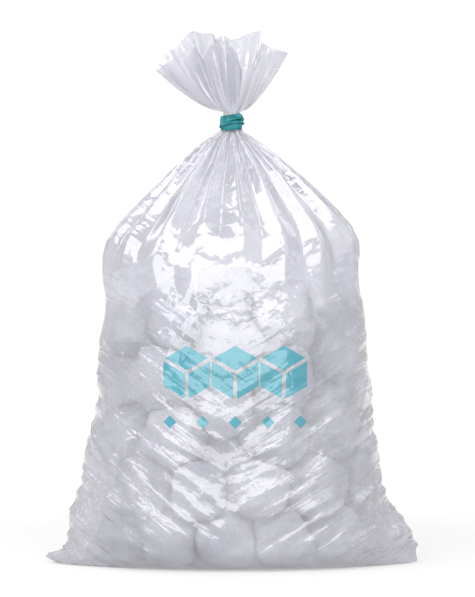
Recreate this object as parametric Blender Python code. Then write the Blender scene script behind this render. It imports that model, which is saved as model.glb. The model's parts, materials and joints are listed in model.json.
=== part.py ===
"""A tied bag of ice cubes: a clear film bag, standing on its sealed bottom, full of loose cubes.

The bag is one film solid: a flat bottom with pointed corners at the ends of its seal, a body
filled by the ice, a cone of folds up to the tied neck, and a flared ruffle above the tie.
Metres, +Z up. The origin is the middle of the bottom, and the front of the bag faces -Y.
"""

import math

import bmesh
import bpy
import numpy as np
from mathutils import Matrix, Vector

# Driving dimensions of the bag: the width is that of the empty bag laid flat
BAG_WIDTH = 0.254
NECK_RADIUS = 0.0060
NECK_CHANNEL = 0.0015
NECK_LOW = 0.2946
NECK_HIGH = 0.3078
RUFFLE_LENGTH = 0.060
RUFFLE_LEAN = math.radians(9)
RUFFLE_SPREAD_SIDE = math.radians(51)
RUFFLE_SPREAD_FRONT = math.radians(30)
RUFFLE_PLEATS = 9
PLEAT_SWING = math.radians(9)
PLEAT_DRIFT = 1.1
RUFFLE_OPENS_BY = 0.18
RUFFLE_THINS_BY = 0.42
EDGE_LOBES = 5
EDGE_WAVE = 0.05
EDGE_PHASE = 0.6
CONE_FOLDS = 11
FOLD_DEPTH = 0.16
FOLD_DRIFT = 0.8
FOLD_HEIGHTS = (0.195, 0.245, 0.285)
FOLD_STRENGTHS = (0.0, 1.0, 0.5)
WALL = 0.0010
CORNER_WALL = 0.0055
CORNER_HEIGHT = 0.05
RUFFLE_WALL = 0.0014
COLUMNS = 44
SHARP_ANGLE = math.radians(50)

# Where the film stands above the floor: height, left edge, right edge, half depth, and how
# pointed the two side edges are, from 1 for a sharp edge to 0.5 for a round one.
BODY_STATIONS = np.array(
    [
        [0.0000, -BAG_WIDTH / 2, BAG_WIDTH / 2, 0.0480, 1.00],
        [0.0060, -0.1235, 0.1262, 0.0570, 0.95],
        [0.0140, -0.1140, 0.1240, 0.0610, 0.84],
        [0.0340, -0.1110, 0.1130, 0.0640, 0.70],
        [0.0560, -0.1020, 0.1020, 0.0650, 0.62],
        [0.0890, -0.0970, 0.0970, 0.0640, 0.56],
        [0.1110, -0.0910, 0.0955, 0.0630, 0.54],
        [0.1330, -0.0914, 0.0930, 0.0620, 0.52],
        [0.1500, -0.0900, 0.0905, 0.0615, 0.52],
        [0.1660, -0.0880, 0.0920, 0.0610, 0.51],
        [0.1820, -0.0850, 0.0890, 0.0600, 0.51],
        [0.2000, -0.0885, 0.0875, 0.0580, 0.50],
        [0.2160, -0.0880, 0.0875, 0.0540, 0.50],
        [0.2310, -0.0780, 0.0820, 0.0480, 0.50],
        [0.2530, -0.0570, 0.0610, 0.0370, 0.50],
        [0.2750, -0.0335, 0.0350, 0.0245, 0.50],
        [0.2890, -0.0175, 0.0180, 0.0140, 0.50],
    ]
)
SECTION_POWER = 2.3
FLAT_BOTTOM_SHARES = (0.0, 0.5, 0.86)
RUFFLE_SHARES = (0.18, 0.42, 0.70, 1.0)

# Driving dimensions of the ice
CUBES = 58
CUBE_SIDE = 0.0365
SIDE_SPREAD = 0.0030
CUBE_BEVEL = 0.0032
CUBE_GAP = 0.0004
FILM_GAP = 0.0009
SMALLEST_EDGE = 0.0035
CENTRE_SPACING = 0.0410
CENTRE_INSET = 0.0175
FIRST_SPREAD = np.array([[-0.10, -0.045, 0.02], [0.10, 0.045, 0.18]])
SETTLING_ROUNDS = 260
PUSH_SHARE = 0.35
SINK_STEP = 0.0002
PULL_SHARE = 0.96
PULL_ROUNDS = 12
PLANE_ROUNDS = 24
SLOPE_STEP = 0.0005
MOST_TRIMS = 14
ICE_TOP = 0.196
SEED = 11

# Driving dimensions of the tie, a flat rubber band wound round the neck
TIE_TURNS = 3
TIE_STEPS = 16
BAND_HEIGHT = 0.0028
BAND_THICKNESS = 0.0019
BAND_PITCH = 0.0030
BAND_CLEARANCE = 0.0004
BAND_WANDER = 0.035
WANDER_RATE = 2.3
BAND_SIDES = 8


def clear_scene():
    for obj in list(bpy.data.objects):
        bpy.data.objects.remove(obj)


def make_material(name, colour, roughness, transmission=0.0, ior=1.5):
    material = bpy.data.materials.new(name)
    material.use_nodes = True
    shader = material.node_tree.nodes["Principled BSDF"]
    shader.inputs["Base Color"].default_value = (*colour, 1.0)
    shader.inputs["Roughness"].default_value = roughness
    shader.inputs["Metallic"].default_value = 0.0
    shader.inputs["Transmission Weight"].default_value = transmission
    shader.inputs["IOR"].default_value = ior
    return material


def add_object(name, mesh, material):
    obj = bpy.data.objects.new(name, mesh)
    bpy.context.scene.collection.objects.link(obj)
    mesh.materials.append(material)
    return obj


def station(height):
    """Left edge, right edge, half depth and edge sharpness of the film at a height."""
    heights = BODY_STATIONS[:, 0]
    return [float(np.interp(height, heights, BODY_STATIONS[:, i])) for i in (1, 2, 3, 4)]


def corner_wall(height):
    """The wall's thickness at the side edges, thick in the pointed bottom corners."""
    return float(np.interp(height, [0.0, CORNER_HEIGHT], [CORNER_WALL, WALL]))


def outline_point(height, turn, inset_side=0.0, inset_front=0.0):
    """A point of the horizontal section, turn going round from +X by way of +Y."""
    left, right, depth, sharpness = station(height)
    half_width = (right - left) / 2 - inset_side
    across = math.cos(turn)
    swell = max(0.0, 1 - abs(across) ** SECTION_POWER) ** sharpness
    y = (depth - inset_front) * math.copysign(swell, math.sin(turn))
    return Vector(((left + right) / 2 + half_width * across, y, height))


def fold_factor(height, turn):
    """How far the cone's folds pull the film towards the neck's axis at a place."""
    strength = float(np.interp(height, FOLD_HEIGHTS, FOLD_STRENGTHS))
    wave = 0.5 - 0.5 * math.cos(CONE_FOLDS * turn + FOLD_DRIFT * math.sin(2 * turn))
    return 1 - FOLD_DEPTH * strength * wave


def body_ring(height, turns, inner):
    side = corner_wall(height) if inner else 0.0
    front = WALL if inner else 0.0
    ring = []
    for turn in turns:
        point = outline_point(height, turn, side, front)
        factor = fold_factor(height, turn)
        ring.append(Vector((point.x * factor, point.y * factor, height)))
    return ring


def bottom_ring(share, turns, inner):
    """A ring of the flat bottom: share 0 is the seal line, and 1 the edge of the foot."""
    side = CORNER_WALL if inner else 0.0
    front = WALL if inner else 0.0
    lift = WALL if inner else 0.0
    ring = []
    for turn in turns:
        edge = outline_point(0.0, turn, side, front)
        ring.append(Vector((edge.x, edge.y * share, lift)))
    return ring


def neck_ring(height, turns, inner):
    radius = NECK_CHANNEL if inner else NECK_RADIUS
    return [Vector((radius * math.cos(t), radius * math.sin(t), height)) for t in turns]


def ruffle_ring(share, turns, inner):
    """A ring of the ruffle, share going from the tie to the free edge of the film."""
    ring = []
    for turn in turns:
        side_share = math.cos(turn) ** 2
        spread = RUFFLE_SPREAD_FRONT + (RUFFLE_SPREAD_SIDE - RUFFLE_SPREAD_FRONT) * side_share
        pleat = math.sin(RUFFLE_PLEATS * turn + PLEAT_DRIFT * math.sin(turn))
        open_share = min(1.0, share / RUFFLE_OPENS_BY)
        angle = (spread - RUFFLE_LEAN * math.cos(turn) + PLEAT_SWING * pleat) * open_share
        edge_wave = EDGE_WAVE * math.sin(EDGE_LOBES * turn + EDGE_PHASE)
        length = RUFFLE_LENGTH * share * (1 + edge_wave)
        radius = NECK_RADIUS + length * math.sin(angle)
        if inner:
            channel = NECK_RADIUS - NECK_CHANNEL
            radius -= float(np.interp(share, [0.0, RUFFLE_THINS_BY], [channel, RUFFLE_WALL]))
        height = NECK_HIGH + length * math.cos(angle)
        ring.append(Vector((radius * math.cos(turn), radius * math.sin(turn), height)))
    return ring


def film_rings(turns, inner):
    rings = [bottom_ring(share, turns, inner) for share in FLAT_BOTTOM_SHARES]
    first_height = WALL if inner else 0.0
    rings += [
        body_ring(max(height, first_height), turns, inner) for height in BODY_STATIONS[:, 0]
    ]
    rings += [neck_ring(height, turns, inner) for height in (NECK_LOW, NECK_HIGH)]
    rings += [ruffle_ring(share, turns, inner) for share in RUFFLE_SHARES]
    return rings


def skin_rings(bm, rings, flip):
    """Quads between the rings. Returns the last ring's vertices."""
    rows = [[bm.verts.new(point) for point in ring] for ring in rings]
    for low, high in zip(rows, rows[1:]):
        for i in range(len(low)):
            j = (i + 1) % len(low)
            quad = [low[i], low[j], high[j], high[i]]
            bm.faces.new(quad[::-1] if flip else quad)
    return rows[-1]


def add_bag(material):
    turns = [2 * math.pi * i / COLUMNS for i in range(COLUMNS)]
    bm = bmesh.new()
    outer_edge = skin_rings(bm, film_rings(turns, inner=False), flip=False)
    inner_edge = skin_rings(bm, film_rings(turns, inner=True), flip=True)
    for i in range(COLUMNS):
        j = (i + 1) % COLUMNS
        bm.faces.new([outer_edge[i], outer_edge[j], inner_edge[j], inner_edge[i]])
    # The front and back halves of the seal line are the same points
    bmesh.ops.remove_doubles(bm, verts=bm.verts, dist=1e-5)
    bmesh.ops.recalc_face_normals(bm, faces=bm.faces)
    mesh = bpy.data.meshes.new("bag")
    bm.to_mesh(mesh)
    bm.free()
    mesh.shade_smooth()
    mesh.set_sharp_from_angle(angle=SHARP_ANGLE)
    return add_object("bag", mesh, material)


def fullness(point, inset):
    """Under 1 inside the film less an inset, 1 on it and over 1 outside."""
    left, right, depth, sharpness = station(point.z)
    wide = (right - left) / 2 - corner_wall(point.z) - inset
    deep = depth - WALL - inset
    across = abs(point.x - (left + right) / 2) / wide
    return across**SECTION_POWER + (abs(point.y) / deep) ** (1 / sharpness)


def pull_inside(point, inset):
    """Moves a point towards the bag's middle until it is inside the film less an inset."""
    point.z = min(max(point.z, WALL + inset), ICE_TOP - inset)
    for _ in range(PULL_ROUNDS):
        if fullness(point, inset) <= 1:
            break
        point.x *= PULL_SHARE
        point.y *= PULL_SHARE
    return point


def settle_centres():
    """The cubes' centres: spread at random in the bag, then pushed apart and down."""
    rng = np.random.default_rng(SEED)
    centres = rng.uniform(*FIRST_SPREAD, (CUBES, 3))
    for _ in range(SETTLING_ROUNDS):
        apart = centres[:, None] - centres[None]
        distance = np.linalg.norm(apart, axis=2) + np.eye(CUBES)
        overlap = np.clip(CENTRE_SPACING - distance, 0, None) * (1 - np.eye(CUBES))
        push = (apart / distance[..., None] * overlap[..., None]).sum(axis=1)
        centres += PUSH_SHARE * push
        centres[:, 2] -= SINK_STEP
        centres = np.array([pull_inside(Vector(c), CENTRE_INSET) for c in centres])
    return [Vector(c) for c in centres]


def slice_off(bm, point, normal):
    """Cuts away what lies beyond a plane, and closes the cut with one face."""
    cut = bmesh.ops.bisect_plane(
        bm,
        geom=bm.verts[:] + bm.edges[:] + bm.faces[:],
        plane_co=point,
        plane_no=normal,
        clear_outer=True,
    )
    edges = [item for item in cut["geom_cut"] if isinstance(item, bmesh.types.BMEdge)]
    if len(edges) > 2:
        bmesh.ops.contextual_create(bm, geom=edges)


def film_plane(point):
    """The plane of the film beside a point that lies outside it, as a place and a normal."""
    left, right, _, _ = station(point.z)
    axis = Vector(((left + right) / 2, 0, point.z))
    inside, outside = 0.0, 1.0
    for _ in range(PLANE_ROUNDS):
        middle = (inside + outside) / 2
        if fullness(axis.lerp(point, middle), FILM_GAP) < 1:
            inside = middle
        else:
            outside = middle
    place = axis.lerp(point, inside)
    slope = []
    for side in Matrix.Diagonal((SLOPE_STEP, SLOPE_STEP, SLOPE_STEP)):
        slope.append(fullness(place + side, FILM_GAP) - fullness(place - side, FILM_GAP))
    return place, Vector(slope).normalized()


def trim_to_film(bm):
    """Flattens the corners of a cube that would poke through the film, the worst one first."""
    for _ in range(MOST_TRIMS):
        worst = max(bm.verts, key=lambda v: fullness(v.co, FILM_GAP))
        if fullness(worst.co, FILM_GAP) <= 1.0:
            break
        slice_off(bm, *film_plane(worst.co.copy()))


def cube_mesh(name, centre, neighbours, rng):
    """A cube with melted edges, turned at random and flattened where it meets others."""
    sides = CUBE_SIDE + rng.uniform(-SIDE_SPREAD, SIDE_SPREAD, 3)
    axis = Vector(rng.normal(size=3)).normalized()
    turned = Matrix.Rotation(rng.uniform(0, math.pi), 4, axis) @ Matrix.Diagonal((*sides, 1))
    bm = bmesh.new()
    bmesh.ops.create_cube(bm, size=1.0, matrix=Matrix.Translation(centre) @ turned)
    bmesh.ops.bevel(bm, geom=bm.edges[:], offset=CUBE_BEVEL, segments=1, affect="EDGES")
    for other in neighbours:
        towards = (other - centre).normalized()
        slice_off(bm, (centre + other) / 2 - towards * CUBE_GAP / 2, towards)
    floor_height = WALL + FILM_GAP
    slice_off(bm, Vector((0, 0, floor_height)), Vector((0, 0, -1)))
    trim_to_film(bm)
    bmesh.ops.remove_doubles(bm, verts=bm.verts, dist=SMALLEST_EDGE)
    hull = bmesh.ops.convex_hull(bm, input=bm.verts, use_existing_faces=False)
    # Points inside the hull go, and so do the faces that it covers
    spare = {v for v in hull["geom_interior"] + hull["geom_unused"] if isinstance(v, bmesh.types.BMVert)}
    bmesh.ops.delete(bm, geom=list(spare), context="VERTS")
    made = {item for item in hull["geom"] if isinstance(item, bmesh.types.BMFace)}
    bmesh.ops.delete(bm, geom=[f for f in bm.faces if f not in made], context="FACES_ONLY")
    bmesh.ops.recalc_face_normals(bm, faces=bm.faces)
    mesh = bpy.data.meshes.new(name)
    bm.to_mesh(mesh)
    bm.free()
    return mesh


def add_ice(material):
    centres = settle_centres()
    reach = 2 * CUBE_SIDE
    rng = np.random.default_rng(SEED + 1)
    order = sorted(range(CUBES), key=lambda i: centres[i].z)
    for number, i in enumerate(order, start=1):
        centre = centres[i]
        neighbours = [
            other for j, other in enumerate(centres) if j != i and (other - centre).length < reach
        ]
        name = f"ice_cube_{number:02d}"
        add_object(name, cube_mesh(name, centre, neighbours, rng), material)


def add_tie(material):
    """A flat rubber band, wound round the neck in touching turns."""
    radius = NECK_RADIUS + BAND_CLEARANCE + BAND_THICKNESS / 2
    count = TIE_TURNS * TIE_STEPS
    start = (NECK_LOW + NECK_HIGH - TIE_TURNS * BAND_PITCH) / 2
    bm = bmesh.new()
    rows = []
    for step in range(count + 1):
        turn = 2 * math.pi * step / TIE_STEPS
        wander = 1 + BAND_WANDER * math.sin(WANDER_RATE * turn)
        outwards = Vector((math.cos(turn), math.sin(turn), 0))
        middle = outwards * radius * max(1.0, wander)
        middle.z = start + BAND_PITCH * step / TIE_STEPS
        row = []
        for side in range(BAND_SIDES):
            angle = 2 * math.pi * side / BAND_SIDES
            offset = outwards * math.cos(angle) * BAND_THICKNESS / 2
            offset.z = math.sin(angle) * BAND_HEIGHT / 2
            row.append(bm.verts.new(middle + offset))
        rows.append(row)
    for low, high in zip(rows, rows[1:]):
        for i in range(BAND_SIDES):
            j = (i + 1) % BAND_SIDES
            bm.faces.new([low[i], low[j], high[j], high[i]])
    bm.faces.new(rows[0][::-1])
    bm.faces.new(rows[-1])
    bmesh.ops.recalc_face_normals(bm, faces=bm.faces)
    mesh = bpy.data.meshes.new("tie")
    bm.to_mesh(mesh)
    bm.free()
    mesh.shade_smooth()
    return add_object("tie", mesh, material)


clear_scene()
film = make_material("film", (0.86, 0.87, 0.92), 0.12, transmission=0.9)
ice = make_material("ice", (0.80, 0.83, 0.90), 0.30, transmission=0.8, ior=1.31)
rubber = make_material("rubber", (0.05, 0.30, 0.31), 0.55)
add_bag(film)
add_ice(ice)
add_tie(rubber)
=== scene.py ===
# %% [markdown]
# # A tied bag of ice cubes
# This lesson dresses a set of plain solids as a clear bag full of ice cubes. The solids give the
# sizes and places. The lesson adds what the eye looks for: film that clings to the cubes and
# gathers at the neck, ice with melted edges, a wound rubber band, and studio light that shows them.

# %% Load the solids
import json
import math

import bmesh
import bpy
import numpy as np
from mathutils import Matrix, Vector, noise

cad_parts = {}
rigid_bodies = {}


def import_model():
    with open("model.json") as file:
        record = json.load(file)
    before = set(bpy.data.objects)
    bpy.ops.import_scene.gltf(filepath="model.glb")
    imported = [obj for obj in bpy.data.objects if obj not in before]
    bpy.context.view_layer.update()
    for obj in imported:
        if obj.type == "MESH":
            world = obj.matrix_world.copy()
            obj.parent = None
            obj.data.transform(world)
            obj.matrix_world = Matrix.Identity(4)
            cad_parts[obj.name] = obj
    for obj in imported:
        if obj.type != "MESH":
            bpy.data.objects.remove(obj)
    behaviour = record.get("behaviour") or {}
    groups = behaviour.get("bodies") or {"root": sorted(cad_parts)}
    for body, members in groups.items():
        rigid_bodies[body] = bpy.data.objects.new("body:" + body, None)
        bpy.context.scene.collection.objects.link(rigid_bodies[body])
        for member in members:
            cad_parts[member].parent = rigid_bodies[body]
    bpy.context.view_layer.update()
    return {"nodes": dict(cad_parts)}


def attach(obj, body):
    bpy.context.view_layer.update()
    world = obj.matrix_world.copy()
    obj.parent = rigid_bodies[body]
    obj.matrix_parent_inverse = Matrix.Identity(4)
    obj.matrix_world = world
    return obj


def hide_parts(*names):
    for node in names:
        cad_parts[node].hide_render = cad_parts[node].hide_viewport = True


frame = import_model()
bpy.ops.object.select_all(action="DESELECT")

# %% [markdown]
# ## Small helpers
# Colours are written as the hex values that a paint program shows, and one function turns them
# into the linear values that Blender mixes. One more function adds a shader node with its settings
# and links, so each material below reads as a short list of what happens on its surface.

# %% Helpers
MM = 0.001


def colour(hex_value):
    """An sRGB hex colour as linear RGBA."""
    parts = [int(hex_value[i : i + 2], 16) / 255 for i in (0, 2, 4)]
    linear = [v / 12.92 if v <= 0.04045 else ((v + 0.055) / 1.055) ** 2.4 for v in parts]
    return (*linear, 1.0)


def add_node(tree, kind, settings=None, links=None):
    """A node with its settings (names of properties or of inputs) and its links (input: output)."""
    node = tree.nodes.new(kind)
    for name, value in (settings or {}).items():
        if isinstance(name, str) and hasattr(node, name):
            setattr(node, name, value)
        else:
            node.inputs[name].default_value = value
    for name, output in (links or {}).items():
        tree.links.new(output, node.inputs[name])
    return node


def new_material(name):
    """An empty material, with its tree and its output node."""
    material = bpy.data.materials.new(name)
    material.use_nodes = True
    material.node_tree.nodes.clear()
    output = material.node_tree.nodes.new("ShaderNodeOutputMaterial")
    return material, material.node_tree, output


def apply_modifiers(obj):
    """Apply every modifier of one object, in order."""
    bpy.ops.object.select_all(action="DESELECT")
    obj.select_set(True)
    bpy.context.view_layer.objects.active = obj
    for modifier in list(obj.modifiers):
        bpy.ops.object.modifier_apply(modifier=modifier.name)


def eased(share):
    """A share from 0 to 1 that starts and ends softly."""
    share = np.clip(share, 0, 1)
    return share * share * (3 - 2 * share)


print("helpers ready")

# %% [markdown]
# ## The camera
# The bag is seen level, from straight in front. A long lens at 1.6 m flattens it as a product shot
# does, and still shows a little of the floor in front of the seal.

# %% Camera
FRAME_PIXELS = (475, 597)
METRES_PER_PIXEL = 0.254 / 371
CAMERA_DISTANCE = 1.6
MIDDLE_COLUMN = 231.5
FLOOR_ROW = 562.0
SENSOR = 36.0

frame_height = FRAME_PIXELS[1] * METRES_PER_PIXEL
camera_x = (FRAME_PIXELS[0] / 2 - MIDDLE_COLUMN) * METRES_PER_PIXEL
camera_z = (FLOOR_ROW - FRAME_PIXELS[1] / 2) * METRES_PER_PIXEL
bpy.ops.object.camera_add(location=(camera_x, -CAMERA_DISTANCE, camera_z), rotation=(math.pi / 2, 0, 0))
camera = bpy.context.object
camera.data.sensor_width = SENSOR
camera.data.lens = SENSOR * CAMERA_DISTANCE / frame_height
bpy.context.scene.camera = camera
print("lens:", round(camera.data.lens, 1), "mm, camera height:", round(camera_z, 4), "m")

# %% [markdown]
# ## The film
# The bag is a tube of blown polyethylene film, sealed flat at the bottom and gathered at the neck.
# Film can't stretch much, so what is too wide for its place turns into folds. It could be draped
# from a flat tube, but then the folds fall where they like. Here the body is lofted through the
# bag's outline, and the gathers of the cone are pleated into it.

# %% Outline of the film
# Height, left edge, right edge and half depth of the full bag, in millimetres
OUTLINE = MM * np.array(
    [
        [0, -127, 127, 48],
        [6, -124, 126.2, 57],
        [14, -113, 125.5, 61],
        [23, -111.5, 122, 63],
        [29, -110, 117.5, 64],
        [36, -110, 110, 64.5],
        [45, -107.5, 106.5, 65],
        [56, -101.7, 101.5, 65],
        [78, -98.9, 98.9, 64.5],
        [94, -94.8, 96.2, 64],
        [111, -90.7, 95.5, 63],
        [133, -91.4, 93.4, 62],
        [155, -89.3, 92.1, 61.5],
        [166, -87, 91, 61],
        [177, -83.9, 90, 60.5],
        [188, -87.5, 87.5, 60],
        [200, -88.7, 86.8, 59],
        [210, -88.7, 88, 57.5],
        [220, -86, 87.5, 54.5],
        [231, -78, 81.8, 49.5],
        [242, -68, 72.2, 43],
        [253, -56.8, 61, 36.5],
        [264, -45.5, 49, 30],
        [275, -33.2, 35.3, 22.5],
        [286, -21.5, 21.5, 14.5],
        [290, -16, 16, 11],
        [294.6, -8, 8, 7.5],
    ]
)
COLUMNS = 272
BODY_ROWS = 148
SECTION_POWER = 2.3
EDGE_FADE = 36 * MM
EVEN_FROM = 50 * MM
TURNS = np.arange(COLUMNS) * 2 * math.pi / COLUMNS
SHARES = np.arange(COLUMNS) / COLUMNS


def section(height):
    """One ring of the smooth film: pointed at its two sides near the floor, round above."""
    left, right, depth = [np.interp(height, OUTLINE[:, 0], OUTLINE[:, i]) for i in (1, 2, 3)]
    sharpness = 0.5 + 0.5 * math.exp(-height / EDGE_FADE)
    across = np.cos(TURNS)
    swell = np.clip(1 - np.abs(across) ** SECTION_POWER, 0, None) ** sharpness
    x = (left + right) / 2 + (right - left) / 2 * across
    y = depth * np.sign(np.sin(TURNS)) * swell
    return evened(np.stack([x, y, np.full(COLUMNS, height)], axis=1), min(1, height / EVEN_FROM))


def evened(ring, amount):
    """The ring with its points spread evenly along each half, from side edge to side edge."""
    closed = np.vstack([ring, ring[:1]])
    walked = np.concatenate([[0], np.cumsum(np.linalg.norm(np.diff(closed, axis=0), axis=1))])
    half = COLUMNS // 2
    front = np.linspace(0, walked[half], half, endpoint=False)
    back = np.linspace(walked[half], walked[-1], half, endpoint=False)
    places = walked[:-1] * (1 - amount) + np.concatenate([front, back]) * amount
    return np.stack([np.interp(places, walked, closed[:, i]) for i in range(3)], axis=1)


body_heights = np.linspace(0, OUTLINE[-1, 0], BODY_ROWS)
body = np.array([section(height) for height in body_heights])
print("film body:", body.shape)

# %% Pleats of the cone
PLEATS = 17
PLEAT_DEPTH = 11 * MM
PLEAT_SHARPNESS = 1.1
PLEAT_JITTER = 0.36
PLEAT_STARTS = (160 * MM, 200 * MM)
PLEAT_FULL = 242 * MM
NECK_LIMIT = 0.40
NECK_RIPPLES = (31, 43, 52)
NECK_RIPPLE_DEPTH = 1.2 * MM
NECK_RIPPLE_START = 262 * MM
NECK_RIPPLE_GROWTH = 20 * MM
PLEAT_STRENGTHS = (0.4, 1.0)
# How far round the ring a pleat sways on its way up, and how fast (radians per metre)
PLEAT_SWAY = 0.004
PLEAT_SWAY_RATE = 60

rng = np.random.default_rng(7)


def outward(grid):
    """The level direction that points out of the bag, for each point of a grid of rings."""
    along = np.roll(grid, -1, axis=1) - np.roll(grid, 1, axis=1)
    out = np.stack([along[..., 1], -along[..., 0], np.zeros(along.shape[:2])], axis=2)
    return out / np.maximum(np.linalg.norm(out, axis=2, keepdims=True), 1e-9)


def valleys(folds, sharpness):
    """Ridges at random places round the ring, and the depth (0 to 1) of the valleys between."""
    ridges = np.sort((np.arange(folds) + rng.uniform(-PLEAT_JITTER, PLEAT_JITTER, folds)) / folds)

    def depth(shares):
        index = (np.searchsorted(ridges, shares, side="right") - 1) % folds
        width = (ridges[(index + 1) % folds] - ridges[index]) % 1.0
        place = ((shares - ridges[index]) % 1.0) / width
        return index, (1 - np.abs(2 * place - 1) ** sharpness) * (width * folds) ** 0.8

    return depth


def pleat_cone(grid):
    """Push the film in between the ridges that run from the shoulder to the neck."""
    depth = valleys(PLEATS, PLEAT_SHARPNESS)
    starts = rng.uniform(*PLEAT_STARTS, PLEATS)
    strengths = rng.uniform(*PLEAT_STRENGTHS, PLEATS)
    ripple_turns = rng.uniform(0, 2 * math.pi, len(NECK_RIPPLES))
    waves = [np.sin(count * TURNS + turn) for count, turn in zip(NECK_RIPPLES, ripple_turns)]
    ripple = sum(waves) / len(NECK_RIPPLES)
    pushed = np.zeros(grid.shape[:2])
    for row, height in enumerate(body_heights):
        sway = PLEAT_SWAY * np.sin(PLEAT_SWAY_RATE * height + TURNS)
        index, valley = depth((SHARES + sway) % 1.0)
        grown = eased((height - starts[index]) / (PLEAT_FULL - starts[index]))
        most = min(PLEAT_DEPTH, NECK_LIMIT * np.interp(height, OUTLINE[:, 0], OUTLINE[:, 3]))
        near_neck = eased((height - NECK_RIPPLE_START) / NECK_RIPPLE_GROWTH)
        pushed[row] = most * strengths[index] * grown * valley + NECK_RIPPLE_DEPTH * near_neck * ripple
    return grid - pushed[..., None] * outward(grid)


body = pleat_cone(body)
print("pleated cone, deepest:", round(PLEAT_DEPTH / MM, 1), "mm")

# %% [markdown]
# ## Film on the cubes
# A full bag is lifted by its neck, and its film draws tight over what it holds. A short cloth
# simulation sucks the film onto the cubes, which gives it the crumples that no formula has. Its seal
# and neck are held, and its cone is held a little. Afterwards the film is smoothed, pulled straight
# from the top cubes to the shoulder, where nothing lies behind it, and fitted to the outline again.

# %% Helpers for the cling
CLING_FRAMES = 14
SUCTION = -2.0
SEAL_SUCTION = 0.3
SEAL_END = 20 * MM
SEAL_FADE = 30 * MM
SUCTION_TOP = 138 * MM
SUCTION_WANDER = 8 * MM
SUCTION_FADE = 70 * MM
CONE_HOLD = 0.5
CONE_HELD_FROM = 190 * MM
CONE_HELD_FADE = 30 * MM


def grid_faces(rows):
    """Quads between neighbouring rings."""
    faces = []
    for row in range(rows - 1):
        for column in range(COLUMNS):
            low, after = row * COLUMNS, (column + 1) % COLUMNS
            faces.append((low + column, low + after, low + COLUMNS + after, low + COLUMNS + column))
    return faces


def mesh_object(name, points, faces):
    """A new object in the scene, from its points and faces."""
    mesh = bpy.data.meshes.new(name)
    mesh.from_pydata(np.asarray(points, float).reshape(-1, 3).tolist(), [], faces)
    obj = bpy.data.objects.new(name, mesh)
    bpy.context.scene.collection.objects.link(obj)
    return obj


def ice_collider():
    """All the cubes as one mesh that the film can't pass."""
    bm = bmesh.new()
    for name, node in frame["nodes"].items():
        if name.startswith("ice_cube"):
            bm.from_mesh(node.data)
    bmesh.ops.remove_doubles(bm, verts=bm.verts, dist=1e-6)
    mesh = bpy.data.meshes.new("collider")
    bm.to_mesh(mesh)
    bm.free()
    obj = bpy.data.objects.new("collider", mesh)
    bpy.context.scene.collection.objects.link(obj)
    return obj


def weigh_points(obj, name, weight):
    """A vertex group with a weight for each point, from its row, its height and its turn."""
    group = obj.vertex_groups.new(name=name)
    for row, height in enumerate(body_heights):
        for column, turn in enumerate(TURNS):
            group.add([row * COLUMNS + column], float(weight(row, height, turn)), "REPLACE")


def held(row, height, turn):
    """Bottom seal and neck are held fast, and the cone is held a little."""
    if row in (0, BODY_ROWS - 1):
        return 1.0
    return CONE_HOLD * eased((height - CONE_HELD_FROM) / CONE_HELD_FADE)


def sucked(row, height, turn):
    """The suction acts where the cubes are, and less where the sides run out to the seal."""
    top = SUCTION_TOP + SUCTION_WANDER * (math.sin(3 * turn + 1) + math.sin(7 * turn))
    above_seal = SEAL_SUCTION + (1 - SEAL_SUCTION) * eased((height - SEAL_END) / SEAL_FADE)
    return above_seal * (1 - eased((height - top + SUCTION_FADE / 2) / SUCTION_FADE))


# %% Cling to the cubes
SLACK = -0.03
UNEVEN = 0.2 * MM
UNEVEN_TO = 170 * MM
UNEVEN_FADE = 40 * MM


def cling(grid):
    """The film after it was sucked onto the cubes."""
    start = grid.copy()
    uneven = rng.normal(0, UNEVEN, start.shape)
    fading = 1 - eased((body_heights - UNEVEN_TO) / UNEVEN_FADE)
    start[1:-1] += (uneven * fading[:, None, None])[1:-1]
    film = mesh_object("clinging", start, grid_faces(len(grid)))
    weigh_points(film, "held", held)
    weigh_points(film, "sucked", sucked)
    ice = ice_collider()
    ice.modifiers.new("collision", "COLLISION")
    ice.collision.thickness_outer = 0.4 * MM
    ice.collision.cloth_friction = 5
    cloth = film.modifiers.new("cloth", "CLOTH")
    settings = cloth.settings
    settings.quality = 6
    settings.mass = 0.05
    settings.air_damping = 2
    settings.tension_stiffness = 60
    settings.compression_stiffness = 8
    settings.shear_stiffness = 15
    settings.bending_stiffness = 0.2
    settings.tension_damping = settings.compression_damping = settings.shear_damping = 10
    settings.vertex_group_mass = "held"
    settings.shrink_min = SLACK
    settings.use_pressure = True
    settings.uniform_pressure_force = SUCTION
    settings.vertex_group_pressure = "sucked"
    settings.effector_weights.gravity = 0.02
    cloth.collision_settings.distance_min = 0.5 * MM
    cloth.collision_settings.collision_quality = 2
    for step in range(1, CLING_FRAMES + 1):
        bpy.context.scene.frame_set(step)
    settled = film.evaluated_get(bpy.context.evaluated_depsgraph_get())
    points = np.zeros(len(settled.data.vertices) * 3, np.float32)
    settled.data.vertices.foreach_get("co", points)
    bpy.data.objects.remove(film)
    bpy.data.objects.remove(ice)
    bpy.context.scene.frame_set(1)
    return points.reshape(grid.shape).astype(float)


# %% Smooth, bridge and fit
RELAX_ROUNDS = 2
FIT_LIMITS = (0.955, 1.12)
FIT_SPAN = 5
BRIDGED = (152 * MM, 206 * MM)
BRIDGE_TIGHTNESS = 0.9


def relaxed(grid, rounds):
    """The grid with each inner point moved halfway to the middle of its neighbours."""
    for _ in range(rounds):
        beside = (np.roll(grid, 1, axis=1) + np.roll(grid, -1, axis=1))[1:-1] / 2
        beyond = (grid[:-2] + grid[2:]) / 2
        grid = np.concatenate([grid[:1], (2 * grid[1:-1] + beside + beyond) / 4, grid[-1:]])
    return grid


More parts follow.
